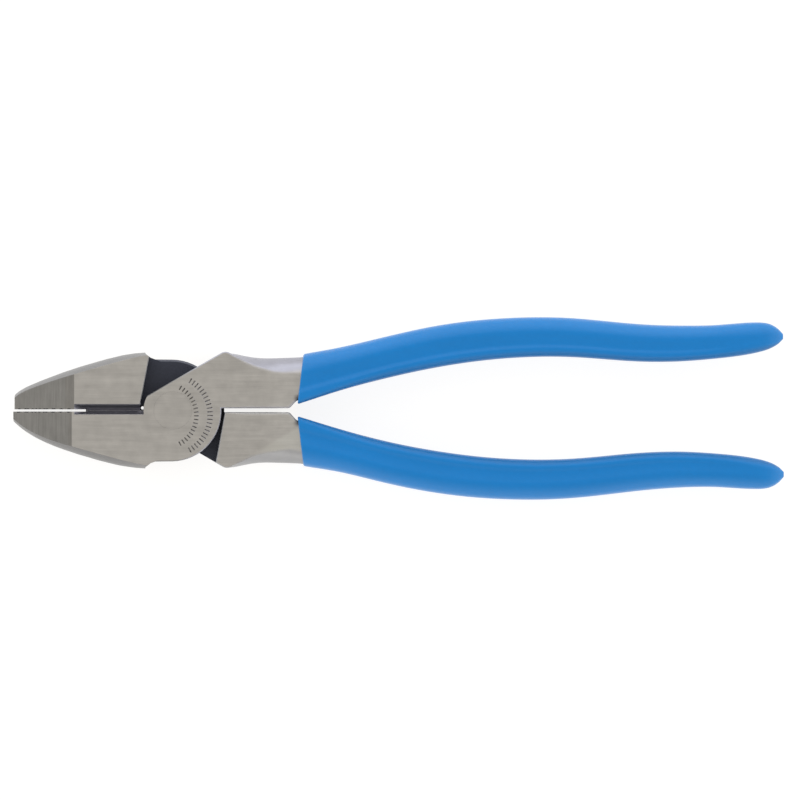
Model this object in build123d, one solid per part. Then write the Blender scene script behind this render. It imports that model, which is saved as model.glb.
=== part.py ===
from build123d import *
import os
from math import cos, radians, sin, sqrt

# Lineman pliers, 240 mm, closed.  All lengths in millimetres.
# X runs from the jaws (-) to the handles (+), Y across, Z up through the thickness.
# The pivot axis is x = y = 0.  The pliers lie flat, on z = 0.
#
# Each half is a forging: a jaw on one side of the centre line, a joint plate of half
# the thickness, and a handle on the other side.  Both halves are drawn as the front
# one, centred on z = 0 with the jaw at -Y, the plate at +Z and the handle at +Y.
# The rear one is then turned 180 degrees about X, and both are lifted by MID.

# --- driving dimensions -------------------------------------------------------------
THICK = 15.0              # over the two ground faces
MID = THICK / 2           # height of the lap plane
LAP_GAP = 0.06            # running gap between the two joint plates
DRAW = 0.1                # how far a loft stands out of the slab that trims it
WIDE = 60.0               # reach of the blocks used only for cutting
LONG = 500.0              # longer than the tool

# jaws
JAW_FACE_GAP = 0.35       # half the gap between the gripping faces, closed
EDGE_GAP = 0.006          # half the gap between the cutting edges, closed
NOSE_END = -31.0          # where the ground nose taper begins
NOSE_TIP_HALF = 6.1       # half thickness at the tip
TIP_RADIUS = 1.2
TIP_CORNER = (3.0, 3.2)   # run and fall of the jaw's outline just behind the tip
CUTTER_TIP = -27.2        # cutting edge, end towards the tip
CUTTER_MOUTH = -30.8      # where the cutter bevels run out on the ground face
BEVEL_BREAK = 1.8         # height where the steep edge bevel meets the wide relief
CUTTER_SIDE_X = -8.6      # the cutter and its relief lie beyond this x
CUTTER_SIDE_Y = 2.3       # and within this distance of the centre line
HEEL_NOTCH_X = -9.5       # relief hole at the heel of the rear half's cutter
HEEL_NOTCH_Y = 0.8
HEEL_NOTCH_R = 0.5
TOOTH_PITCH = 1.7
TOOTH_WIDTH = 1.0
TOOTH_DEPTH = 0.35
TOOTH_ANGLE = 45.0
TOOTH_MARGIN = 1.2        # plain border between the teeth and the tip

# joint plate
PLATE_R = 15.55           # disc of the plate; its centre is a little off the pivot
PLATE_OFF = 0.35
TOE_X = 16.0              # square toe that fills the rear plate between the handles
TOE_Y = -0.9
HUB_R = 9.15              # round end of the plate against the other jaw's heel
DIAGONAL_SLOPE = 30.0     # of the plate's straight edge
CORNER_X = 16.4           # outer corner where plate and handle meet
CORNER_R = 2.6
CORNER_OUT = (18.2, 17.75)
JAW_SHOULDER = [(-6.85, -19.2), (-10.0, -2.66), (-10.3, 0.0), (-10.3, 20.0)]
HANDLE_SHOULDER = [(12.6, 20.0), (13.4, 16.0), (13.9, 13.6), (16.25, 0.5), (16.3, -20.0)]
STEP = [(-8.6, -17.75), (-7.0, -16.5), (-5.5, -15.95)]
STEP_OUTSIDE = [(-5.5, -22.0), (-9.2, -22.0)]
INSIDE_JAW = [(-12.0, -EDGE_GAP), (-12.0, -14.0)]    # where the plate runs into the jaw
INSIDE_ROOT_X = 20.0                                 # and into the handle root
INSIDE_ROOT_Y = 15.0
EDGE_BREAK = 0.3          # chamfer along the edges of the ground faces
LAP_BREAK = 0.6           # chamfer along the plate's round edge, on the lap side

# rivet
RIVET_R = 5.0
RIVET_HEAD_R = 5.9
RIVET_HEAD_DEPTH = 2.0
RIVET_CLEARANCE = 0.03    # radial running clearance in the front half

# plain stamped ticks in the front plate: ring centre, ring radius, tick length, end angles
TICK_ROWS = [
    ((-2.6, -1.6), 10.0, 1.5, -61.0, 60.0),
    ((-0.7, -1.5), 12.4, 1.8, -61.0, 60.0),
]
TICK_PITCH = 1.15
TICK_WIDTH = 0.38
TICK_DEPTH = 0.12

# handle root, between the joint and the grip
ROOT_START = 16.5
ROOT_FLAT_END = 36.4      # the inner edges run parallel up to here
ROOT_TURN = (38.5, 2.9)   # then slant away to here
ROOT_TURN_R = 1.2
ROOT_END = 41.2           # the ground root ends just inside the grip
ROOT_END_INNER = 4.2
TAPER_START = 32.0        # the ground faces curve away from here on
TAPER_RADIUS = 42.0
FACET_LINE = ((24.0, 13.8), (37.4, 6.2))
FACET_ANGLE = 9.0

# stations along the handle root: x, outer edge, inset of the flat face, half height
ROOT = [
    (17.0, 17.85, 0.25, 7.8),
    (20.0, 17.55, 1.0, 7.8),
    (24.2, 16.7, 2.2, 7.8),
    (29.0, 16.3, 3.6, 7.7),
    (35.2, 16.45, 4.7, 7.0),
    (41.2, 16.8, 5.0, 6.5),
]

# stations along the grip: x, centre, width, half height, outer and inner rounding
GRIP = [
    (36.0, 8.95, 16.1, 7.35, 5.8, 1.5),
    (41.4, 10.15, 15.1, 7.3, 6.2, 1.6),
    (50.8, 12.4, 13.65, 6.9, 6.2, 2.4),
    (64.8, 15.9, 12.8, 6.4, 6.0, 2.8),
    (83.6, 19.75, 12.8, 6.2, 5.8, 3.0),
    (102.3, 21.85, 12.4, 6.1, 5.7, 3.0),
    (125.8, 21.9, 11.95, 6.0, 5.6, 3.0),
    (144.5, 20.2, 11.55, 6.0, 5.5, 3.0),
    (163.3, 19.75, 10.95, 5.9, 5.3, 3.0),
    (174.5, 20.45, 10.25, 5.6, 5.0, 3.0),
    (182.0, 21.25, 9.6, 5.1, 4.6, 2.9),
    (186.7, 21.65, 7.7, 4.1, 3.6, 2.5),
    (189.5, 21.6, 4.3, 2.3, 1.9, 1.5),
    (190.8, 21.55, 1.3, 0.7, 0.55, 0.45),
]
GRIP_LIP_OUTER = (40.9, 18.0)
GRIP_LIP_INNER = (38.95, 1.9)
GRIP_MIDDLE = (60.0, 150.0)          # the stretch over which each half's "wider" applies
SPLAY_X = 30.0            # each handle is bent a touch about this point of its root
SPLAY_Y = 10.0

VINYL = 1.8               # thickness of the dipped coat over the tang
TANG_CORNER = 1.6
TANG_START = (39.5, 9.8, 8.4, 7.6)   # x, centre, width, height, inside the root

# the two forgings differ a little, as hand-ground ones do
FRONT = {
    "jaw": [
        (-49.8, 3.4, 1.3), (-47.7, 5.3, 1.4), (-43.9, 7.9, 1.6), (-38.9, 10.4, 1.8),
        (-30.5, 13.45, 2.0), (-20.0, 16.45, 2.1), (-12.0, 17.9, 1.5), (-5.6, 18.3, 0.9),
    ],
    "bevel": (0.7, 1.25),
    "land": 0.12,
    "inner": 0.69,
    "diagonal": 8.0,
    "facet": False,
    "toe": False,
    "notch": False,
    "splay": 0.56,
    "wider": (0.25, 0.0),
}
REAR = {
    "jaw": [
        (-49.4, 4.9, 1.4), (-47.7, 6.25, 1.5), (-43.9, 8.2, 1.6), (-38.9, 10.2, 1.7),
        (-30.5, 13.2, 1.8), (-20.0, 16.25, 1.8), (-12.0, 17.85, 1.3), (-5.6, 18.3, 0.8),
    ],
    "bevel": (1.1, 2.0),
    "land": 0.02,
    "inner": 0.53,
    "diagonal": 7.4,
    "facet": True,
    "toe": True,
    "notch": True,
    "splay": -0.56,
    "wider": (0.0, 0.37),
}


# --- helpers ------------------------------------------------------------------------
def across(x):
    """Plane at x, with local x along +Y and local y along +Z."""
    return Plane(origin=(x, 0, 0), x_dir=(0, 1, 0), z_dir=(1, 0, 0))


def slab(points, low, high):
    """Prism over a closed polygon in X and Y."""
    face = make_face(Polyline(*points, close=True))
    return extrude(Pos(0, 0, low) * face, high - low)


def convex_section(x, inner, outer, inset, half):
    """Section with a flat inner side and one round outer side."""
    flat_end = outer - inset if outer > 0 else outer + inset
    low = (flat_end, -half)
    high = (flat_end, half)
    edges = Polyline(low, (inner, -half), (inner, half), high)
    edges += ThreePointArc(high, (outer, 0), low)
    return across(x) * make_face(edges)


def grip_section(x, centre, width, half, outer_round, inner_round):
    """Rounded section: nearly a half circle outside, smaller corners inside."""
    inner = centre - width / 2
    outer = centre + width / 2
    corners = [
        (outer - outer_round, half - outer_round, outer_round, 0),
        (inner + inner_round, half - inner_round, inner_round, 90),
        (inner + inner_round, inner_round - half, inner_round, 180),
        (outer - outer_round, outer_round - half, outer_round, 270),
    ]
    arcs = [CenterArc((y, z), radius, start, 90) for y, z, radius, start in corners]
    sides = [Line(arcs[k] @ 1, arcs[(k + 1) % 4] @ 0) for k in range(4)]
    return across(x) * make_face(arcs + sides)


def splayed(shape, angle):
    """Turn a handle piece about its root."""
    hinge = Pos(SPLAY_X, SPLAY_Y, 0)
    return hinge * Rot(0, 0, angle) * hinge.inverse() * shape


# --- forging ------------------------------------------------------------------------
def jaw(spec):
    """Jaw bar: flat inside, convex outside, rounded at the tip."""
    sections = [
        convex_section(x, -EDGE_GAP, -outer, inset, MID + DRAW)
        for x, outer, inset in spec["jaw"]
    ]
    return loft(sections)


def tip_trim(spec):
    """Plan prism that rounds the outer corner of the jaw's tip."""
    tip, outer, _ = spec["jaw"][0]
    run, fall = TIP_CORNER
    deep = -WIDE / 2
    face = make_face(
        Polyline(
            (tip, 1), (tip, -outer), (tip + run, -outer - fall), (tip + run, deep), (0, deep),
            (0, 1), close=True,
        )
    )
    corner = face.vertices().sort_by(Axis.X)[0:2].sort_by(Axis.Y)[0]
    face = fillet(corner, TIP_RADIUS)
    return extrude(Pos(0, 0, -MID - 1) * face, THICK + 2)


def on_circle(radius, angle, centre=0.0):
    """Point on a circle whose centre lies on the line x = y."""
    turn = radians(angle)
    return (centre + radius * cos(turn), centre + radius * sin(turn))


def plate(spec):
    """Joint plate and the corner where it runs into the handle, at full height."""
    slope = radians(DIAGONAL_SLOPE)
    far = spec["diagonal"]
    inner = spec["inner"]

    def on_diagonal(run):
        return (run * cos(slope) - far * sin(slope), run * sin(slope) + far * cos(slope))

    hub_end = on_diagonal(-sqrt(HUB_R**2 - far**2))
    hub_start = (-sqrt(HUB_R**2 - EDGE_GAP**2), -EDGE_GAP)
    peak = on_diagonal((CORNER_X + far * sin(slope)) / cos(slope))
    bottom = on_circle(PLATE_R, -90, -PLATE_OFF)
    level = TOE_Y if spec["toe"] else inner
    side = (sqrt(PLATE_R**2 - (level + PLATE_OFF) ** 2) - PLATE_OFF, level)
    toe = [(TOE_X, level), (TOE_X, inner)] if spec["toe"] else []
    root_side = [(INSIDE_ROOT_X, inner), (INSIDE_ROOT_X, INSIDE_ROOT_Y), CORNER_OUT]
    edges = Polyline(hub_start, *INSIDE_JAW, STEP[1], STEP[2], bottom)
    edges += ThreePointArc(bottom, on_circle(PLATE_R, -45, -PLATE_OFF), side)
    edges += Polyline(side, *toe, *root_side, peak, hub_end)
    edges += ThreePointArc(hub_end, on_circle(HUB_R, 165), hub_start)
    face = make_face(edges)
    face = fillet(face.vertices().sort_by(Axis.Y)[-1], CORNER_R)
    return extrude(Pos(0, 0, -MID) * face, THICK)


def root_plan(inner):
    """Plan of the handle root: straight inner edge, then a rounded turn outwards."""
    outside = ROOT[0][1] + 2
    face = make_face(
        Polyline(
            (ROOT_START, inner), (ROOT_FLAT_END, inner), ROOT_TURN, (ROOT_END, ROOT_END_INNER),
            (ROOT_END, outside), (ROOT_START, outside), close=True,
        )
    )
    bends = [v for v in face.vertices() if ROOT_START < v.X < ROOT_END]
    return fillet(bends, ROOT_TURN_R)


def root_taper():
    """What the ground faces lose towards the grip, above the face and below it."""
    def fall(x):
        return (x, MID - TAPER_RADIUS + sqrt(TAPER_RADIUS**2 - (x - TAPER_START) ** 2))

    curve = ThreePointArc(fall(TAPER_START), fall((TAPER_START + ROOT_END) / 2), fall(ROOT_END))
    lid = Polyline(fall(ROOT_END), (ROOT_END, MID + 2), (TAPER_START, MID + 2), fall(TAPER_START))
    top = extrude(Plane.XZ * make_face([curve, lid]), WIDE, both=True)
    return top + mirror(top, Plane.XY)


def root(spec):
    """Handle root: flat ground faces, convex outer side, straight inner edge."""
    sections = [convex_section(x, 0, outer, inset, high) for x, outer, inset, high in ROOT]
    plan = Pos(0, 0, -MID - 1) * root_plan(spec["inner"])
    return (loft(sections) & extrude(plan, THICK + 2)) - root_taper()


def grip_stations(spec):
    """Stations of this half's grip, with what its middle is wider by, inside and outside."""
    inside, outside = spec["wider"]
    start, end = GRIP_MIDDLE
    found = []
    for x, centre, width, *rest in GRIP:
        if start < x < end:
            centre += (outside - inside) / 2
            width += outside + inside
        found.append((x, centre, width, *rest))
    return found


def grip_shell(spec):
    """Outer form of the dipped grip, with the slanted edge where the dip ends."""
    body = splayed(loft([grip_section(*station) for station in grip_stations(spec)]), spec["splay"])
    edge = Vector(*GRIP_LIP_OUTER) - Vector(*GRIP_LIP_INNER)
    high = Vector(*GRIP_LIP_OUTER) + edge
    low = Vector(*GRIP_LIP_INNER) - edge
    before = [(0, low.Y), (low.X, low.Y), (high.X, high.Y), (0, high.Y)]
    return body - slab(before, -THICK, THICK)


def tang(spec):
    """Steel bar inside the grip, from the root to a little short of the grip's end."""
    x, centre, width, height = TANG_START
    sections = [across(x) * Pos(centre, 0) * RectangleRounded(width, height, TANG_CORNER)]
    for x, centre, width, half, _, _ in grip_stations(spec)[2:-3]:
        outline = RectangleRounded(width - 2 * VINYL, 2 * (half - VINYL), TANG_CORNER)
        sections.append(across(x) * Pos(centre, 0) * outline)
    return splayed(loft(sections), spec["splay"])


def cutter_slots(spec):
    """Bevels on both sides of the cutting edge, run out at a slant towards the tip."""
    steep, wide = spec["bevel"]
    land = spec["land"]
    high = MID + DRAW
    inside = 1.0
    profile = make_face(
        Polyline(
            (inside, land), (-EDGE_GAP, land), (-EDGE_GAP - steep, BEVEL_BREAK),
            (-wide, high), (inside, high), close=True,
        )
    )
    prism = extrude(across(CUTTER_MOUTH) * profile, -CUTTER_MOUTH)
    side = make_face(
        Polyline((CUTTER_TIP, 0), (CUTTER_MOUTH, high), (0, high), (0, 0), close=True)
    )
    slant = extrude(Plane.XZ * side, WIDE, both=True)
    top = (prism & slant) - Cylinder(HUB_R, WIDE)
    return top + mirror(top, Plane.XY)


def teeth(tip):
    """Two crossing sets of V grooves for the gripping face."""
    start = tip + TOOTH_MARGIN
    length = NOSE_END - start
    half_count = int((length + THICK) / (2 * TOOTH_PITCH * sin(radians(TOOTH_ANGLE))))
    section = make_face(
        Polyline((-TOOTH_WIDTH / 2, 0), (TOOTH_WIDTH / 2, 0), (0, -TOOTH_DEPTH), close=True)
    )
    groove = extrude(section, WIDE, both=True)
    grooves = [
        Rot(0, side * TOOTH_ANGLE, 0) * Pos(k * TOOTH_PITCH, 0, 0) * groove
        for side in (-1, 1)
        for k in range(-half_count, half_count + 1)
    ]
    field = Box(length, 4 * TOOTH_DEPTH, THICK + 2)
    return Pos(start + length / 2, -JAW_FACE_GAP, 0) * (field & Compound(grooves))


def nose_taper(tip):
    """Thin wedges that the ground nose loses on both faces."""
    high = MID + 2
    wedge = make_face(
        Polyline((NOSE_END, MID), (tip, NOSE_TIP_HALF), (tip, high), (NOSE_END, high), close=True)
    )
    top = extrude(Plane.XZ * wedge, WIDE, both=True)
    return top + mirror(top, Plane.XY)


def facet():
    """Shallow second grind on the handle root, run out along a slanted line."""
    start = Vector(*FACET_LINE[0], MID)
    along = (Vector(*FACET_LINE[1], MID) - start).normalized()
    outward = Vector(-along.Y, along.X, 0)
    drop = outward * cos(radians(FACET_ANGLE)) - Vector(0, 0, sin(radians(FACET_ANGLE)))
    ground = Plane(origin=start, x_dir=along, z_dir=along.cross(drop))
    top = ground * Box(WIDE, WIDE, MID, align=(Align.MIN, Align.MIN, Align.MIN))
    return top + mirror(top, Plane.XY)


def ground_edges(body, z):
    """Straight and round edges that lie in one ground face and bound a solid step."""
    found = []
    for edge in body.edges():
        box = edge.bounding_box()
        middle = edge @ 0.5
        level = abs(box.min.Z - z) < 1e-4 and abs(box.max.Z - z) < 1e-4
        grind_line = box.size.X < 0.01
        in_cutter = middle.X < CUTTER_SIDE_X and abs(middle.Y) < CUTTER_SIDE_Y
        at_step = middle.X < STEP[2][0] and middle.Y < STEP[2][1]
        on_facet = middle.X > CORNER_OUT[0] and middle.Y > 1
        plain = edge.geom_type in (GeomType.LINE, GeomType.CIRCLE)
        if level and plain and not (grind_line or in_cutter or at_step or on_facet):
            found.append(edge)
    return found


def lap_rim(body):
    """The plate's round outer edge in the lap plane."""
    level = LAP_GAP / 2
    found = []
    for edge in body.edges().filter_by(GeomType.CIRCLE):
        box = edge.bounding_box()
        middle = edge @ 0.5
        in_plane = abs(box.min.Z - level) < 1e-4 and abs(box.max.Z - level) < 1e-4
        if in_plane and sqrt(middle.X**2 + middle.Y**2) > (HUB_R + PLATE_R) / 2:
            found.append(edge)
    return found


def half(spec):
    """One forging, drawn as the front half, centred on z = 0."""
    tip = spec["jaw"][0][0]
    body = (jaw(spec) & tip_trim(spec)) + plate(spec) + root(spec)
    if spec["facet"]:
        body -= facet()
    body += tang(spec)
    body &= Box(LONG, LONG, THICK)
    body -= slab(JAW_SHOULDER + HANDLE_SHOULDER, -MID - 1, LAP_GAP / 2)
    body -= slab(STEP + STEP_OUTSIDE, -MID - 1, MID + 1)
    body -= nose_taper(tip)
    body -= Pos(CUTTER_TIP - WIDE / 2, 0, 0) * Box(WIDE, 2 * JAW_FACE_GAP, THICK + 2)
    body -= cutter_slots(spec)
    if spec["notch"]:
        body -= Pos(HEEL_NOTCH_X, -HEEL_NOTCH_Y, 0) * Cylinder(HEEL_NOTCH_R, THICK + 2)
    for z in (MID, -MID):
        body = chamfer(ground_edges(body, z), EDGE_BREAK)
    body = chamfer(lap_rim(body), LAP_BREAK)
    return body - teeth(tip)


def place(shape, rear=False):
    """Put a piece drawn as the front one in its place."""
    if rear:
        shape = Rot(180, 0, 0) * shape
    return Pos(0, 0, MID) * shape


def rivet_form(clearance):
    """Through rivet with a countersunk head at each end, flush with both faces."""
    shank = Cylinder(RIVET_R + clearance, THICK + 2 * clearance)
    head = Cone(
        RIVET_R + clearance, RIVET_HEAD_R + clearance, RIVET_HEAD_DEPTH,
        align=(Align.CENTER, Align.CENTER, Align.MIN),
    )
    head = Pos(0, 0, MID - RIVET_HEAD_DEPTH) * head
    return shank + head + mirror(head, Plane.XY)


def ticks():
    """Stamped rows of plain radial ticks, like a scale."""
    cuts = []
    for centre, ring, length, first, last in TICK_ROWS:
        count = int(radians(last - first) * ring / TICK_PITCH)
        for k in range(count + 1):
            angle = first + (last - first) * k / count
            tick = SlotOverall(length, TICK_WIDTH)
            stamp = extrude(Pos(ring, 0, MID - TICK_DEPTH) * tick, 1)
            cuts.append(Pos(*centre) * Rot(0, 0, angle) * stamp)
    return Compound(cuts)


def build():
    """All pieces in place, by name."""
    front = half(FRONT) - ticks() - rivet_form(RIVET_CLEARANCE)
    rear = half(REAR) - rivet_form(0)
    return {
        "front_half": place(front),
        "rear_half": place(rear, rear=True),
        "pivot_rivet": place(rivet_form(0) & Box(WIDE, WIDE, THICK)),
        "front_grip": place(grip_shell(FRONT) - front),
        "rear_grip": place(grip_shell(REAR) - rear, rear=True),
    }


os.makedirs("parts", exist_ok=True)
for name, piece in build().items():
    export_step(piece, "parts/" + name + ".step")
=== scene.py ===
import math

import bmesh
import bpy
import numpy as np
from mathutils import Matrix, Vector
from mathutils.bvhtree import BVHTree


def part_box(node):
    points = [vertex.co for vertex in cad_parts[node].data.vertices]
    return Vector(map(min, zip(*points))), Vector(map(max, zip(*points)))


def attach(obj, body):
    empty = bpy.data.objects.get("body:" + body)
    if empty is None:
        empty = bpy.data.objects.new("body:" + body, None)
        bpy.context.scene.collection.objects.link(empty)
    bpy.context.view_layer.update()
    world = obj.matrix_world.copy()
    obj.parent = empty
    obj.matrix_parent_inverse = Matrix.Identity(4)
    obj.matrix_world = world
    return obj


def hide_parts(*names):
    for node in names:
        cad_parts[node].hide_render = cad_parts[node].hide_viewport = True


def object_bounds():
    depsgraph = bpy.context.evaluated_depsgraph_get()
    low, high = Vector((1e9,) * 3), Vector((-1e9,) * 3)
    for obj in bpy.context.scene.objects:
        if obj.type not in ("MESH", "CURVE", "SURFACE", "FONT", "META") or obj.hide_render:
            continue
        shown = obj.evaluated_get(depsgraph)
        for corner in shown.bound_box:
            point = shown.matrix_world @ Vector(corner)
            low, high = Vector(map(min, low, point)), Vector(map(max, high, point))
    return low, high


# Lineman pliers: finishes, dipped grips, floor, light and camera round the fixed frame.
# Lengths are in metres; materials measure in millimetres, by the pieces' own coordinates.

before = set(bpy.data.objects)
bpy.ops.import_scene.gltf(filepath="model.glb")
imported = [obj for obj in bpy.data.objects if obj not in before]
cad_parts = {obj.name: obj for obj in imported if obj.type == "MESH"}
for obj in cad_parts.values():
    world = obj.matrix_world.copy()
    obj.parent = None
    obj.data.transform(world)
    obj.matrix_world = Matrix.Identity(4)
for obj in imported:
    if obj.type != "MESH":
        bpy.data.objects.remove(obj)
CAD_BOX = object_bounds()
LOW, HIGH = CAD_BOX
MID = (LOW.z + HIGH.z) / 2
MM = 0.001
IN_MM = (1 / MM, 1 / MM, 1 / MM)

# --- view and stage -----------------------------------------------------------------
VIEW_WIDTH = 0.250                          # what the picture is wide, at the mid plane
VIEW_OFFSET = Vector((0.0004, 0.00264, 0))  # picture centre against the object's centre
VIEW_DISTANCE = 8.0
SENSOR = 0.036
FLOOR_SIZE = 8.0
FLOOR_DROP = 0.00005                        # keeps the floor clear of the faces that rest on it
FLOOR_GLOW = 0.87                           # the pale floor is lit from within, like a light table
FLOOR_TINT = (1.0, 0.99, 0.975, 1)
FLOOR_TONE = 0.24                           # what it reflects besides
HORIZON = (1.7, 1.7, 1.71, 1)               # the studio's light, level and from above
OVERHEAD = (0.48, 0.477, 0.472, 1)
SHADY_SIDE = (0.93, 0.92, 0.90, 1)          # the studio's tint towards -Y and towards +Y
SUNNY_SIDE = (1.07, 1.08, 1.10, 1)
SIDE_BLEND = 0.7                            # how far from the middle the tints meet
KEY_PLACE = Vector((0.1, 1.3, 1.2))         # of the soft panel, from the object's centre
KEY_LENGTH = 2.2
KEY_DEPTH = 1.4
KEY_POWER = 3.0

# --- grips --------------------------------------------------------------------------
SIDES = {"front": 1, "rear": -1}            # which way each handle lies from the centre line
LIP_INNER = 0.03895                         # where the dip ends, at the grip's inner edge
LIP_SLANT = 0.121                           # how far the edge of the dip leans along X
LIP_ROUND = 0.00055
LIP_FADE = 0.016                            # the rings straighten out over this length
WALL = 0.0018
SKIN_MARGIN = 0.00001                       # the drawn coat stays this far inside the CAD one
FIRST_STATION = 0.0045                      # past the lip's inner edge
STATION_STEP = 0.009
TIP_STATIONS = (0.0085, 0.006, 0.004, 0.0024, 0.0013, 0.0005)   # before the grip's end
RING_STEP = 0.0009
RING_ROUNDS = 3                             # a leaning ring and its section settle in so many rounds
OUTER_ROUND = 0.92                          # share of the half height
INNER_ROUND = (0.0016, 0.0030)              # at the lip, and further on
INNER_ROUND_RUN = 0.03
OUTER_LIMIT = 0.49                          # the outer rounding's most, as a share of the width
INNER_LIMIT = 0.55                          # the inner rounding's, as a share of the half height
INSET_LIMIT = 0.45                          # how far a ring may be drawn in, as a share of the width
LEAST_ROUND = 0.3                           # what an inset leaves of each rounding, at least
CHANNEL_DEPTH = 0.00052
CHANNEL_PLACE = 0.34                        # share of the width, from the inner side
CHANNEL_INNER = 0.0023                      # how far it reaches to either side
CHANNEL_OUTER = 0.0050
CHANNEL_FADE = 0.02                         # it dies out over this length
CHANNEL_STOP = 0.006                        # and ends this far before the grip's end
CHANNEL_LEVEL = 0.25                        # share of the height that takes part in it
CORNER_POINTS = {"outer": 16, "inner": 9}
FLAT_POINTS = {"face": 22, "outer": 2, "inner": 7}
TIP_LENGTH = 0.008                          # the rings crowd together over this end of the grip
TIP_RINGS = 22
LIP_RINGS = 7
CAVITY_RINGS = 24
WALL_RINGS = 2                              # between the cavity and the rolled lip
CAVITY_END = 0.014                          # the steel stops this far before the grip's end
FAR = 0.05                                  # where the rays that measure the CAD grip start


class Graph:
    """Short names for the shader nodes that the materials are made of."""

    def __init__(self, tree):
        self.tree = tree
        tree.nodes.clear()

    def node(self, kind, **settings):
        made = self.tree.nodes.new("ShaderNode" + kind)
        for name, value in settings.items():
            setattr(made, name, value)
        return made

    def feed(self, socket, value):
        if isinstance(value, bpy.types.NodeSocket):
            self.tree.links.new(value, socket)
        else:
            socket.default_value = value

    def calc(self, operation, *values):
        made = self.node("Math", operation=operation)
        for socket, value in zip(made.inputs, values):
            self.feed(socket, value)
        return made.outputs[0]

    def step(self, value, low, high):
        """0 below low, 1 above high, smooth between; low may be the larger one."""
        made = self.node("MapRange", interpolation_type="SMOOTHSTEP")
        rising = low < high
        ends = (low, high, 0, 1) if rising else (high, low, 1, 0)
        for socket, end in zip(list(made.inputs)[1:5], ends):
            socket.default_value = end
        self.feed(made.inputs[0], value)
        return made.outputs[0]

    def both(self, *masks):
        """All of these masks at once."""
        found = masks[0]
        for mask in masks[1:]:
            found = self.calc("MULTIPLY", found, mask)
        return found

    def mix(self, share, first, second, blend="MIX"):
        made = self.node("Mix", data_type="RGBA", blend_type=blend)
        for index, value in ((0, share), (6, first), (7, second)):
            self.feed(made.inputs[index], value)
        return made.outputs[2]

    def mix_value(self, share, first, second):
        made = self.node("Mix", data_type="FLOAT")
        for index, value in ((0, share), (2, first), (3, second)):
            self.feed(made.inputs[index], value)
        return made.outputs[0]

    def tint(self, colour, amount, noise):
        """The colour made lighter and darker by a share, following noise round 0.5."""
        swing = self.calc("MULTIPLY_ADD", noise, 2 * amount, 1 - amount)
        return self.mix(1.0, colour, swing, "MULTIPLY")

    def stretched(self, place, scale):
        made = self.node("VectorMath", operation="MULTIPLY")
        self.feed(made.inputs[0], place)
        made.inputs[1].default_value = scale
        return made.outputs[0]

    def noise(self, vector, scale=1.0, detail=3.0, rough=0.5):
        made = self.node("TexNoise")
        self.feed(made.inputs["Vector"], vector)
        made.inputs["Scale"].default_value = scale
        made.inputs["Detail"].default_value = detail
        made.inputs["Roughness"].default_value = rough
        return made.outputs[0]

    def rounded(self, radius):
        """Shading normal rounded over the edges nearby."""
        made = self.node("Bevel", samples=6)
        self.feed(made.inputs["Radius"], radius)
        return made.outputs[0]

    def bump(self, height, distance, strength=1.0, normal=None):
        made = self.node("Bump")
        made.inputs["Strength"].default_value = strength
        made.inputs["Distance"].default_value = distance
        self.feed(made.inputs["Height"], height)
        if normal is not None:
            self.feed(made.inputs["Normal"], normal)
        return made.outputs[0]


def split(graph, vector):
    made = graph.node("SeparateXYZ")
    graph.feed(made.inputs[0], vector)
    return made.outputs


def new_material(name):
    material = bpy.data.materials.new(name)
    material.use_nodes = True
    graph = Graph(material.node_tree)
    output = graph.node("OutputMaterial")
    shader = graph.node("BsdfPrincipled")
    graph.feed(output.inputs["Surface"], shader.outputs[0])
    return material, graph, shader


# --- steel --------------------------------------------------------------------------
GROUND = (0.58, 0.55, 0.503, 1)
NOSE = (0.316, 0.304, 0.282, 1)
NOSE_LINE = (0.302, 0.287, 0.263, 1)
NOSE_EDGE = {"front": -31.5, "rear": -30.8}     # x where the darker nose starts
NOSE_STRIP = {"front": 1.1, "rear": 2.7}        # width of the darker line at its back
# painted light and shade: each half's sides are lighter where they face +Y (the rear jaw, the front root)
# and darker where they face -Y (the front jaw, the rear root)
JAW_SIDE_PAINTED_LIGHT = {"front": (0.218, 0.213, 0.21, 1), "rear": (0.28, 0.279, 0.281, 1)}
ROOT_SIDE_PAINTED_LIGHT = {"front": (0.40, 0.40, 0.45, 1), "rear": (0.346, 0.344, 0.347, 1)}
# painted reflection: the rear root's tilted facet gets a lighter steel than the ground face
FACET_REFLECTION = (0.65, 0.628, 0.57, 1)
FACET_SLOPE, FACET_START = 0.567, -27.4     # the grind line across the rear handle's root
OXIDE = (0.035, 0.039, 0.058, 1)
# painted highlight along the broken edge of the lap plane, round the disc
OXIDE_RIM_HIGHLIGHT = (0.085, 0.09, 0.115, 1)
SLOT = (0.46, 0.45, 0.50, 1)
SLOT_EDGE = (0.20, 0.20, 0.23, 1)
MARK = (0.10, 0.09, 0.078, 1)
MARK_WORN, MARK_DEEP = 0.6, 1.0             # how much of that tone the stamped ticks show,
MARK_WEAR = (0.36, 0.64)                    # by this noise
# painted shade: the steel turns dark where it meets the grip's lip
LIP_SHADE = (0.03, 0.035, 0.05, 1)
EDGE_ROUND = 0.0002                         # how far the light runs round the steel's edges,
ROOT_ROUND = 0.0015                         # on the handle roots,
RIVET_ROUND = 0.00002                       # and at the rivet
GRAIN = (0.10, 4.2, 1.0)                    # stretched noise: fine grinding lines along X
BROAD = (0.05, 0.8, 0.5)                    # wide streaks along X
CROSS = (2.6, 0.09, 0.5)                    # grinding lines across the nose
MOTTLE_SCALE, PEBBLE_SCALE = 0.28, 1.6
GRIND_BUMP = 0.00004
GROUND_ROUGH = (0.14, 0.33)                 # roughness: how far noise adds to it, and the least
NOSE_ROUGH = (0.2, 0.36)
SIDE_ROUGH = (0.2, 0.28)
DARK_ROUGH = (0.25, 0.32)
DARK_LOSS = 0.9                             # what the oxide takes of the metal's look
LIP_SHADE_STRENGTH = 0.8

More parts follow.
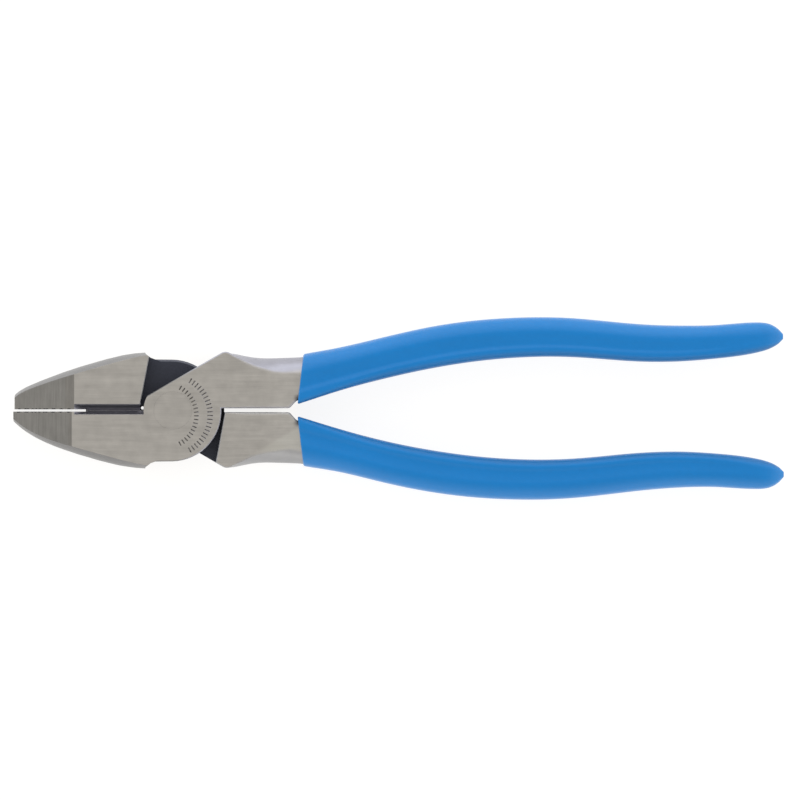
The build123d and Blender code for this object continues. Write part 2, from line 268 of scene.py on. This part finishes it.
# Where the finishes change over, each from a first to a last value, in millimetres: x and
# across (the distance from the centre line), radius round the pivot, and height from the mid
# plane.  A TURN is a size of one part of the surface's direction, between 0 and 1.
FACE_TURN = (0.82, 0.97)                    # z: from the sides to the ground faces
SOFT_TURN = (0.995, 0.86)                   # z: the same, seen on the rounded edges, back again
RIVET_RADIUS = (7.0, 7.6)
ROOT_X = (16.0, 24.0)
WALL_HEIGHT = (7.22, 7.18)                  # walls are black below the bright broken edge
LAP_HEIGHT = (2.0, 1.0)
LAP_RIM_TURN, LAP_RIM_HEIGHT, LAP_RIM_RADIUS = (0.5, 0.6), (0.75, 0.65), (13.8, 14.2)
SLOT_FROM, SLOT_TO, SLOT_ACROSS = (-31.2, -31.1), (-8.0, -8.2), (2.4, 2.3)
SLOT_DARK = (0.6, 1.15)                     # across: the bevels darken away from the edge
JOINT_FROM, JOINT_TO = (-9.3, -9.1), (17.6, 17.4)
OUTSIDE_RADIUS, OUTSIDE_X, OUTSIDE_TURN = (16.2, 16.4), (5.0, 5.4), (0.76, 0.74)
SHOULDER_FROM, SHOULDER_TO = (-10.8, -10.6), (-6.0, -6.4)
SHOULDER_TURN, SHOULDER_RADIUS = (0.7, 0.8), (22.0, 21.0)
# where the painted shade by the grip's lip lies
LIP_SHADE_X, LIP_SHADE_ACROSS = (37.4, 39.2), (5.4, 3.8)
MARK_RADIUS, MARK_FROM, MARK_TO = (15.0, 14.8), (7.30, 7.34), (7.46, 7.42)
NOSE_BLUR, STRIP_BLUR = 0.1, 0.3
SIDE_X = (0.0, 12.0)                        # from the jaw's side to the handle root's
FACET_ACROSS, FACET_X = (-0.6, 0.9), (24.0, 33.0)


def steel_masks(graph, body):
    """Where each finish and each patch of painted light or shade lies, from the place and the direction of
    the surface.
    """
    coordinates = graph.node("TexCoord")
    place = graph.stretched(coordinates.outputs["Object"], IN_MM)
    x, y, z = split(graph, place)
    nx, _, nz = split(graph, coordinates.outputs["Normal"])
    height = graph.calc("ABSOLUTE", graph.calc("SUBTRACT", z, MID / MM))
    radius = graph.calc("SQRT", graph.calc("ADD", graph.calc("POWER", x, 2), graph.calc("POWER", y, 2)))
    across = graph.calc("ABSOLUTE", y)
    turned_along = graph.calc("ABSOLUTE", nx)
    turned_up = graph.calc("ABSOLUTE", nz)
    flat = graph.step(turned_up, *FACE_TURN)
    side = graph.calc("SUBTRACT", 1, flat)

    reach = graph.mix_value(graph.step(radius, *RIVET_RADIUS), RIVET_ROUND, EDGE_ROUND)
    rounded = graph.rounded(graph.mix_value(graph.step(x, *ROOT_X), reach, ROOT_ROUND))
    _, _, soft_nz = split(graph, rounded)
    soft_side = graph.step(graph.calc("ABSOLUTE", soft_nz), *SOFT_TURN)

    wall = graph.both(side, graph.step(height, *WALL_HEIGHT))
    lap = graph.both(flat, graph.step(height, *LAP_HEIGHT))
    slot = graph.both(
        side, graph.step(across, *SLOT_ACROSS), graph.step(x, *SLOT_FROM), graph.step(x, *SLOT_TO)
    )
    outside = graph.both(
        graph.step(radius, *OUTSIDE_RADIUS), graph.step(graph.calc("ABSOLUTE", x), *OUTSIDE_X),
        graph.step(turned_along, *OUTSIDE_TURN),
    )
    joint = graph.both(
        wall, graph.step(x, *JOINT_FROM), graph.step(x, *JOINT_TO), graph.calc("SUBTRACT", 1, outside)
    )
    shoulder = graph.both(
        wall, graph.step(x, *SHOULDER_FROM), graph.step(x, *SHOULDER_TO),
        graph.step(turned_along, *SHOULDER_TURN), graph.step(radius, *SHOULDER_RADIUS),
    )
    # the chamfer round the lap plane's outer edge, where the oxide gets its painted highlight
    rim_highlight = graph.both(
        side, graph.step(turned_up, *LAP_RIM_TURN), graph.step(height, *LAP_RIM_HEIGHT),
        graph.step(radius, *LAP_RIM_RADIUS),
    )
    marks = graph.both(
        flat, graph.step(radius, *MARK_RADIUS), graph.step(height, *MARK_FROM), graph.step(height, *MARK_TO)
    )
    nose_end = NOSE_EDGE[body]
    nose = graph.step(x, nose_end + NOSE_BLUR, nose_end - NOSE_BLUR)
    strip_end = nose_end - NOSE_STRIP[body]
    strip = graph.both(graph.step(x, strip_end - STRIP_BLUR, strip_end + STRIP_BLUR), nose)
    return {
        "place": place, "x": x, "y": y, "across": across,
        "side": side, "soft_side": soft_side, "rounded": rounded,
        "oxide": graph.calc("MAXIMUM", lap, graph.calc("MAXIMUM", joint, shoulder)), "rim_highlight": rim_highlight,
        "slot": slot, "marks": marks, "nose": nose, "strip": strip,
        # painted shade where the steel meets the grip's lip
        "lip_shade": graph.both(graph.step(x, *LIP_SHADE_X), graph.step(across, *LIP_SHADE_ACROSS)),
    }


def steel(body):
    """Ground faces, cross-ground nose, forged sides and black-oxide recesses, with painted light laid in:
    lighter sides towards +Y, painted highlights on the oxide rim and the rear root's facet, painted shade
    by the grip's lip.
    """
    material, graph, shader = new_material(body + "_steel")
    at = steel_masks(graph, body)
    place, x, y = at["place"], at["x"], at["y"]

    grain = graph.noise(graph.stretched(place, GRAIN), 1.0, 4.0, 0.6)
    broad = graph.noise(graph.stretched(place, BROAD), 1.0, 3.0, 0.5)
    cross = graph.noise(graph.stretched(place, CROSS), 1.0, 4.0, 0.65)
    mottle = graph.noise(place, MOTTLE_SCALE, 3.0, 0.5)
    pebble = graph.noise(place, PEBBLE_SCALE, 4.0, 0.6)

    ground = graph.tint(graph.tint(GROUND, 0.15, mottle), 0.22, graph.mix_value(0.4, grain, broad))
    if body == "rear":
        # painted reflection: beyond the grind line the rear root's facet turns lighter
        edge = graph.calc("MULTIPLY_ADD", x, FACET_SLOPE, FACET_START)
        beyond = graph.step(graph.calc("SUBTRACT", edge, y), *FACET_ACROSS)
        lit = graph.both(beyond, graph.step(x, *FACET_X))
        ground = graph.mix(lit, ground, graph.tint(FACET_REFLECTION, 0.12, grain))
    nose = graph.mix(at["strip"], NOSE, NOSE_LINE)
    nose = graph.tint(graph.tint(nose, 0.12, mottle), 0.28, cross)
    faces = graph.mix(at["nose"], ground, nose)
    # each half's sides: painted light on those that face +Y, painted shade on those that face -Y
    sides = graph.mix(graph.step(x, *SIDE_X), JAW_SIDE_PAINTED_LIGHT[body], ROOT_SIDE_PAINTED_LIGHT[body])
    sides = graph.tint(graph.tint(sides, 0.10, pebble), 0.08, mottle)

    colour = graph.mix(at["soft_side"], faces, sides)
    worn = graph.mix_value(graph.step(pebble, *MARK_WEAR), MARK_WORN, MARK_DEEP)
    colour = graph.mix(graph.calc("MULTIPLY", at["marks"], worn), colour, MARK)
    # painted shade darkens the steel by the grip's lip
    colour = graph.mix(graph.calc("MULTIPLY", at["lip_shade"], LIP_SHADE_STRENGTH), colour, LIP_SHADE)
    # painted highlight on the oxide's broken rim
    oxide = graph.tint(graph.mix(at["rim_highlight"], OXIDE, OXIDE_RIM_HIGHLIGHT), 0.35, pebble)
    colour = graph.mix(at["oxide"], colour, oxide)
    slot = graph.mix(graph.step(at["across"], *SLOT_DARK), SLOT, SLOT_EDGE)
    colour = graph.mix(at["slot"], colour, graph.tint(slot, 0.2, pebble))
    graph.feed(shader.inputs["Base Color"], colour)

    dark = graph.calc("MAXIMUM", at["oxide"], at["slot"])
    bright = graph.calc("SUBTRACT", 1, graph.calc("MULTIPLY", dark, DARK_LOSS))
    graph.feed(shader.inputs["Metallic"], bright)
    rough = graph.calc("MULTIPLY_ADD", broad, *GROUND_ROUGH)
    rough = graph.mix_value(at["nose"], rough, graph.calc("MULTIPLY_ADD", cross, *NOSE_ROUGH))
    rough = graph.mix_value(at["side"], rough, graph.calc("MULTIPLY_ADD", pebble, *SIDE_ROUGH))
    rough = graph.mix_value(dark, rough, graph.calc("MULTIPLY_ADD", pebble, *DARK_ROUGH))
    graph.feed(shader.inputs["Roughness"], rough)

    lines = graph.mix_value(at["nose"], grain, cross)
    relief = graph.mix_value(at["side"], lines, pebble)
    graph.feed(shader.inputs["Normal"], graph.bump(relief, GRIND_BUMP, 0.5, at["rounded"]))
    return material


# --- vinyl --------------------------------------------------------------------------
VINYL = (0.001, 0.208, 0.585, 1)
VINYL_INNER_SHADE = (0.001, 0.155, 0.43, 1)      # painted shade on the sides that face each other
VINYL_SHINE = 0.38
VINYL_SHEEN = 0.25
VINYL_ROUGH = (0.14, 0.27)
VINYL_DRIFT = (0.03, 0.12, 0.12)            # stretched noise: the colour drifts along the handle
INWARD_TURN = (0.25, 0.8)                   # how far a side faces the other handle
PEEL_SCALE, PEEL_BUMP = 0.55, 0.0003
PORE_SCALE, PORE_BUMP = 6.0, 0.00003


def vinyl(name):
    """Dipped vinyl: satin skin with a faint orange peel and soft colour drift, and painted shade on the
    sides that face the other handle.
    """
    material, graph, shader = new_material(name)
    coordinates = graph.node("TexCoord")
    place = graph.stretched(coordinates.outputs["Object"], IN_MM)
    _, y, _ = split(graph, place)
    _, ny, _ = split(graph, coordinates.outputs["Normal"])
    inward = graph.calc("MULTIPLY", graph.calc("SIGN", y), graph.calc("MULTIPLY", ny, -1))
    drift = graph.noise(graph.stretched(place, VINYL_DRIFT), 1.0, 2.0)
    peel = graph.noise(place, PEEL_SCALE, 2.0)
    pores = graph.noise(place, PORE_SCALE, 3.0, 0.6)
    # painted shade: darker where a side faces the other handle
    colour = graph.mix(graph.step(inward, *INWARD_TURN), VINYL, VINYL_INNER_SHADE)
    colour = graph.tint(graph.tint(colour, 0.06, drift), 0.04, peel)
    graph.feed(shader.inputs["Base Color"], colour)
    rough = graph.calc("MULTIPLY_ADD", pores, *VINYL_ROUGH)
    graph.feed(shader.inputs["Roughness"], rough)
    shader.inputs["Specular IOR Level"].default_value = VINYL_SHINE
    shader.inputs["Sheen Weight"].default_value = VINYL_SHEEN
    shader.inputs["Sheen Roughness"].default_value = 0.4
    soft = graph.bump(peel, PEEL_BUMP, 0.12)
    graph.feed(shader.inputs["Normal"], graph.bump(pores, PORE_BUMP, 0.35, soft))
    return material


# --- grip meshes --------------------------------------------------------------------
def spline(xs, values):
    """Natural cubic spline through the stations, as a function of x."""
    xs, values = np.asarray(xs, float), np.asarray(values, float)
    gap = np.diff(xs)
    count = len(xs)
    system, right = np.eye(count), np.zeros(count)
    for k in range(1, count - 1):
        system[k, k - 1 : k + 2] = gap[k - 1], 2 * (gap[k - 1] + gap[k]), gap[k]
        right[k] = 6 * ((values[k + 1] - values[k]) / gap[k] - (values[k] - values[k - 1]) / gap[k - 1])
    bend = np.linalg.solve(system, right)

    def at(x):
        k = np.clip(np.searchsorted(xs, x) - 1, 0, count - 2)
        a, b = (xs[k + 1] - x) / gap[k], (x - xs[k]) / gap[k]
        curve = ((a**3 - a) * bend[k] + (b**3 - b) * bend[k + 1]) * gap[k] ** 2 / 6
        inside = a * values[k] + b * values[k + 1] + curve
        slope = (values[1] - values[0]) / gap[0]
        return np.where(x < xs[0], values[0] + slope * (x - xs[0]), inside)

    return at


def measure_grip(node, side):
    """The grip's outer, inner and half height curves, read from the CAD solid."""
    _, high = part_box(node)
    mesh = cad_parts[node].data
    tree = BVHTree.FromPolygons([v.co for v in mesh.vertices], [p.vertices[:] for p in mesh.polygons])
    start = LIP_INNER + FIRST_STATION
    end = high.x
    body = np.arange(start, end - TIP_STATIONS[0] - STATION_STEP / 2, STATION_STEP)
    xs = np.concatenate([body, [end - back for back in TIP_STATIONS]])
    outer, inner, half = [], [], []
    for x in xs:
        hit_outer = tree.ray_cast(Vector((x, side * FAR, MID)), Vector((0, -side, 0)))[0]
        hit_inner = tree.ray_cast(Vector((x, 0, MID)), Vector((0, side, 0)))[0]
        middle = (hit_outer.y + hit_inner.y) / 2
        hit_top = tree.ray_cast(Vector((x, middle, MID + FAR)), Vector((0, 0, -1)))[0]
        outer.append(side * hit_outer.y - SKIN_MARGIN)
        inner.append(side * hit_inner.y + SKIN_MARGIN)
        half.append(hit_top.z - MID - SKIN_MARGIN)
    return spline(xs, outer), spline(xs, inner), spline(xs, half), end - SKIN_MARGIN


def section_rows():
    """How each point of a section follows outer, inner, half height and the two radii."""
    corners = (("outer", 1, 0), ("inner", 1, 90), ("inner", -1, 180), ("outer", -1, 270))
    flats = ("face", "inner", "face", "outer")
    arcs = []
    for where, up, start in corners:
        arc = []
        for step in range(CORNER_POINTS[where]):
            turn = math.radians(start + 90 * step / (CORNER_POINTS[where] - 1))
            c, s = math.cos(turn), math.sin(turn)
            if where == "outer":
                arc.append(((1, 0, 0, c - 1, 0), (0, 0, up, s - up, 0)))
            else:
                arc.append(((0, 1, 0, 0, c + 1), (0, 0, up, 0, s - up)))
        arcs.append(np.array(arc, float))
    rows = []
    for k, flat in enumerate(flats):
        rows.append(arcs[k])
        here, there = arcs[k][-1], arcs[(k + 1) % len(arcs)][0]
        count = FLAT_POINTS[flat]
        rows.append(np.array([here + (there - here) * (j + 1) / (count + 1) for j in range(count)]))
    return np.concatenate(rows)


def fade(value, length):
    """1 at zero, falling smoothly to 0 at length."""
    share = np.clip(value / length, 0, 1)
    return 1 - share * share * (3 - 2 * share)


def grip_ring(curves, rows, side, x, slant, inset=0.0):
    """One closed ring of points, leaning by slant, drawn in by inset."""
    outer_at, inner_at, half_at, end = curves
    along = np.full(len(rows), x)
    for _ in range(RING_ROUNDS):
        outer, inner, half = outer_at(along), inner_at(along), half_at(along)
        big = np.minimum(OUTER_ROUND * half, OUTER_LIMIT * (outer - inner))
        start, later = INNER_ROUND
        small = later + (start - later) * fade(along - LIP_INNER, INNER_ROUND_RUN)
        small = np.minimum(small, INNER_LIMIT * half)
        room = np.minimum(inset, INSET_LIMIT * (outer - inner))
        sizes = np.stack([
            outer - room, inner + room, half - room,
            np.maximum(big - room, LEAST_ROUND * big),
            np.maximum(small - room, LEAST_ROUND * small),
        ])
        sideways = np.einsum("kj,jk->k", rows[:, 0], sizes)
        upward = np.einsum("kj,jk->k", rows[:, 1], sizes)
        middle = (outer + inner) / 2
        along = x + slant * (sideways - middle)
    centre = inner + CHANNEL_PLACE * (outer - inner)
    reach = np.where(sideways < centre, CHANNEL_INNER, CHANNEL_OUTER)
    wave = np.clip((sideways - centre) / reach, -1, 1)
    level = fade(1 - np.abs(upward) / half, CHANNEL_LEVEL)
    ends = 1 - fade(end - CHANNEL_STOP - along, CHANNEL_FADE)
    dent = CHANNEL_DEPTH * (0.5 + 0.5 * np.cos(math.pi * wave)) * level * ends
    if inset > LIP_ROUND:       # the cavity has no channel
        dent = 0
    upward = upward - np.sign(upward) * dent
    return np.stack([along, side * sideways, MID + upward], axis=1)


def grip_rings(curves, rows, side):
    """All rings, from the end of the cavity, round the lip and out to the grip's end."""
    outer_at, inner_at, _, end = curves
    lip = LIP_INNER + LIP_SLANT * (outer_at(LIP_INNER) - inner_at(LIP_INNER)) / 2
    deepest = end - CAVITY_END
    tip_start = end - TIP_LENGTH
    rings = []

    def add(x, inset):
        slant = LIP_SLANT * float(fade(x - lip, LIP_FADE))
        rings.append(grip_ring(curves, rows, side, x, slant, inset))

    for x in np.linspace(deepest, lip, CAVITY_RINGS):
        add(x, WALL)
    for inset in np.linspace(WALL, LIP_ROUND, WALL_RINGS + 2)[1:-1]:
        add(lip, inset)
    for turn in np.linspace(0, math.pi / 2, LIP_RINGS):
        add(lip + LIP_ROUND * (1 - math.cos(turn)), LIP_ROUND * (1 - math.sin(turn)))
    for x in np.arange(lip + LIP_ROUND + RING_STEP / 2, tip_start, RING_STEP):
        add(x, 0.0)
    for turn in np.linspace(0, math.pi / 2, TIP_RINGS)[:-1]:
        add(tip_start + TIP_LENGTH * math.sin(turn), 0.0)
    return rings


def grip(name, node, body, side, material):
    """The dipped coat as one closed shell, with its cavity for the steel."""
    curves = measure_grip(node, side)
    rings = grip_rings(curves, section_rows(), side)
    around = len(rings[0])
    points = np.concatenate(rings)
    first = rings[0].mean(axis=0)
    last = rings[-1].mean(axis=0)
    last[0] = curves[3]
    points = np.concatenate([points, [first, last]])
    faces = []
    for k in range(len(rings) - 1):
        for j in range(around):
            here, there = k * around + j, k * around + (j + 1) % around
            faces.append((here, there, there + around, here + around))
    low_pole, high_pole = len(points) - 2, len(points) - 1
    top = (len(rings) - 1) * around
    for j in range(around):
        faces.append((low_pole, (j + 1) % around, j))
        faces.append((high_pole, top + j, top + (j + 1) % around))
    mesh = bpy.data.meshes.new(name)
    mesh.from_pydata(points.tolist(), [], faces)
    shape = bmesh.new()
    shape.from_mesh(mesh)
    bmesh.ops.recalc_face_normals(shape, faces=shape.faces)
    shape.to_mesh(mesh)
    shape.free()
    mesh.shade_smooth()
    mesh.materials.append(material)
    piece = bpy.data.objects.new(name, mesh)
    bpy.context.scene.collection.objects.link(piece)
    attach(piece, body)
    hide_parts(node)
    return piece


# --- stage --------------------------------------------------------------------------
def floor():
    """A plain pale table top, softly lit from within."""
    material, graph, shader = new_material("pale_floor")
    shader.inputs["Base Color"].default_value = (FLOOR_TONE, FLOOR_TONE, FLOOR_TONE, 1)
    shader.inputs["Roughness"].default_value = 0.9
    shader.inputs["Specular IOR Level"].default_value = 0.0
    shader.inputs["Emission Color"].default_value = FLOOR_TINT
    shader.inputs["Emission Strength"].default_value = FLOOR_GLOW
    half = FLOOR_SIZE / 2
    mesh = bpy.data.meshes.new("floor")
    corners = [(-half, -half, 0), (half, -half, 0), (half, half, 0), (-half, half, 0)]
    mesh.from_pydata(corners, [], [(0, 1, 2, 3)])
    mesh.materials.append(material)
    table = bpy.data.objects.new("floor", mesh)
    table.location.z = LOW.z - FLOOR_DROP
    bpy.context.scene.collection.objects.link(table)


def surroundings():
    """A pale studio: bright round the horizon, dimmer straight overhead."""
    world = bpy.data.worlds.new("studio")
    bpy.context.scene.world = world
    world.use_nodes = True
    graph = Graph(world.node_tree)
    output = graph.node("OutputWorld")
    background = graph.node("Background")
    _, away, up = split(graph, graph.node("TexCoord").outputs["Generated"])
    sky = graph.mix(graph.calc("MAXIMUM", up, 0.0), HORIZON, OVERHEAD)
    sides = graph.mix(graph.step(away, -SIDE_BLEND, SIDE_BLEND), SHADY_SIDE, SUNNY_SIDE)
    graph.feed(background.inputs["Color"], graph.mix(1.0, sky, sides, "MULTIPLY"))
    graph.feed(output.inputs["Surface"], background.outputs[0])


def key_light(target):
    """One broad soft panel beyond the upper handle."""
    light = bpy.data.lights.new("key", "AREA")
    light.shape = "RECTANGLE"
    light.size = KEY_LENGTH
    light.size_y = KEY_DEPTH
    light.energy = KEY_POWER
    panel = bpy.data.objects.new("key", light)
    panel.location = target + KEY_PLACE
    panel.rotation_euler = (-KEY_PLACE).to_track_quat("-Z", "Y").to_euler()
    bpy.context.scene.collection.objects.link(panel)


def camera(target):
    """Straight down on the broad face, from far off."""
    data = bpy.data.cameras.new("camera")
    data.sensor_width = SENSOR / MM
    data.lens = SENSOR / MM * VIEW_DISTANCE / VIEW_WIDTH
    data.clip_end = 4 * VIEW_DISTANCE
    eye = bpy.data.objects.new("camera", data)
    eye.location = target + Vector((0, 0, VIEW_DISTANCE))
    bpy.context.scene.collection.objects.link(eye)
    bpy.context.scene.camera = eye


bpy.context.scene.view_settings.view_transform = "Standard"
centre = (LOW + HIGH) / 2
centre.z = MID
floor()
surroundings()
key_light(centre)
camera(centre + VIEW_OFFSET)

finishes = {
    "front_half": steel("front"),
    "rear_half": steel("rear"),
}
finishes["pivot_rivet"] = finishes["front_half"]
for node, finish in finishes.items():
    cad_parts[node].material_slots[0].material = finish
skin = vinyl("blue_vinyl")
for body, side in SIDES.items():
    grip(body + "_dipped_grip", body + "_grip", body, side, skin)
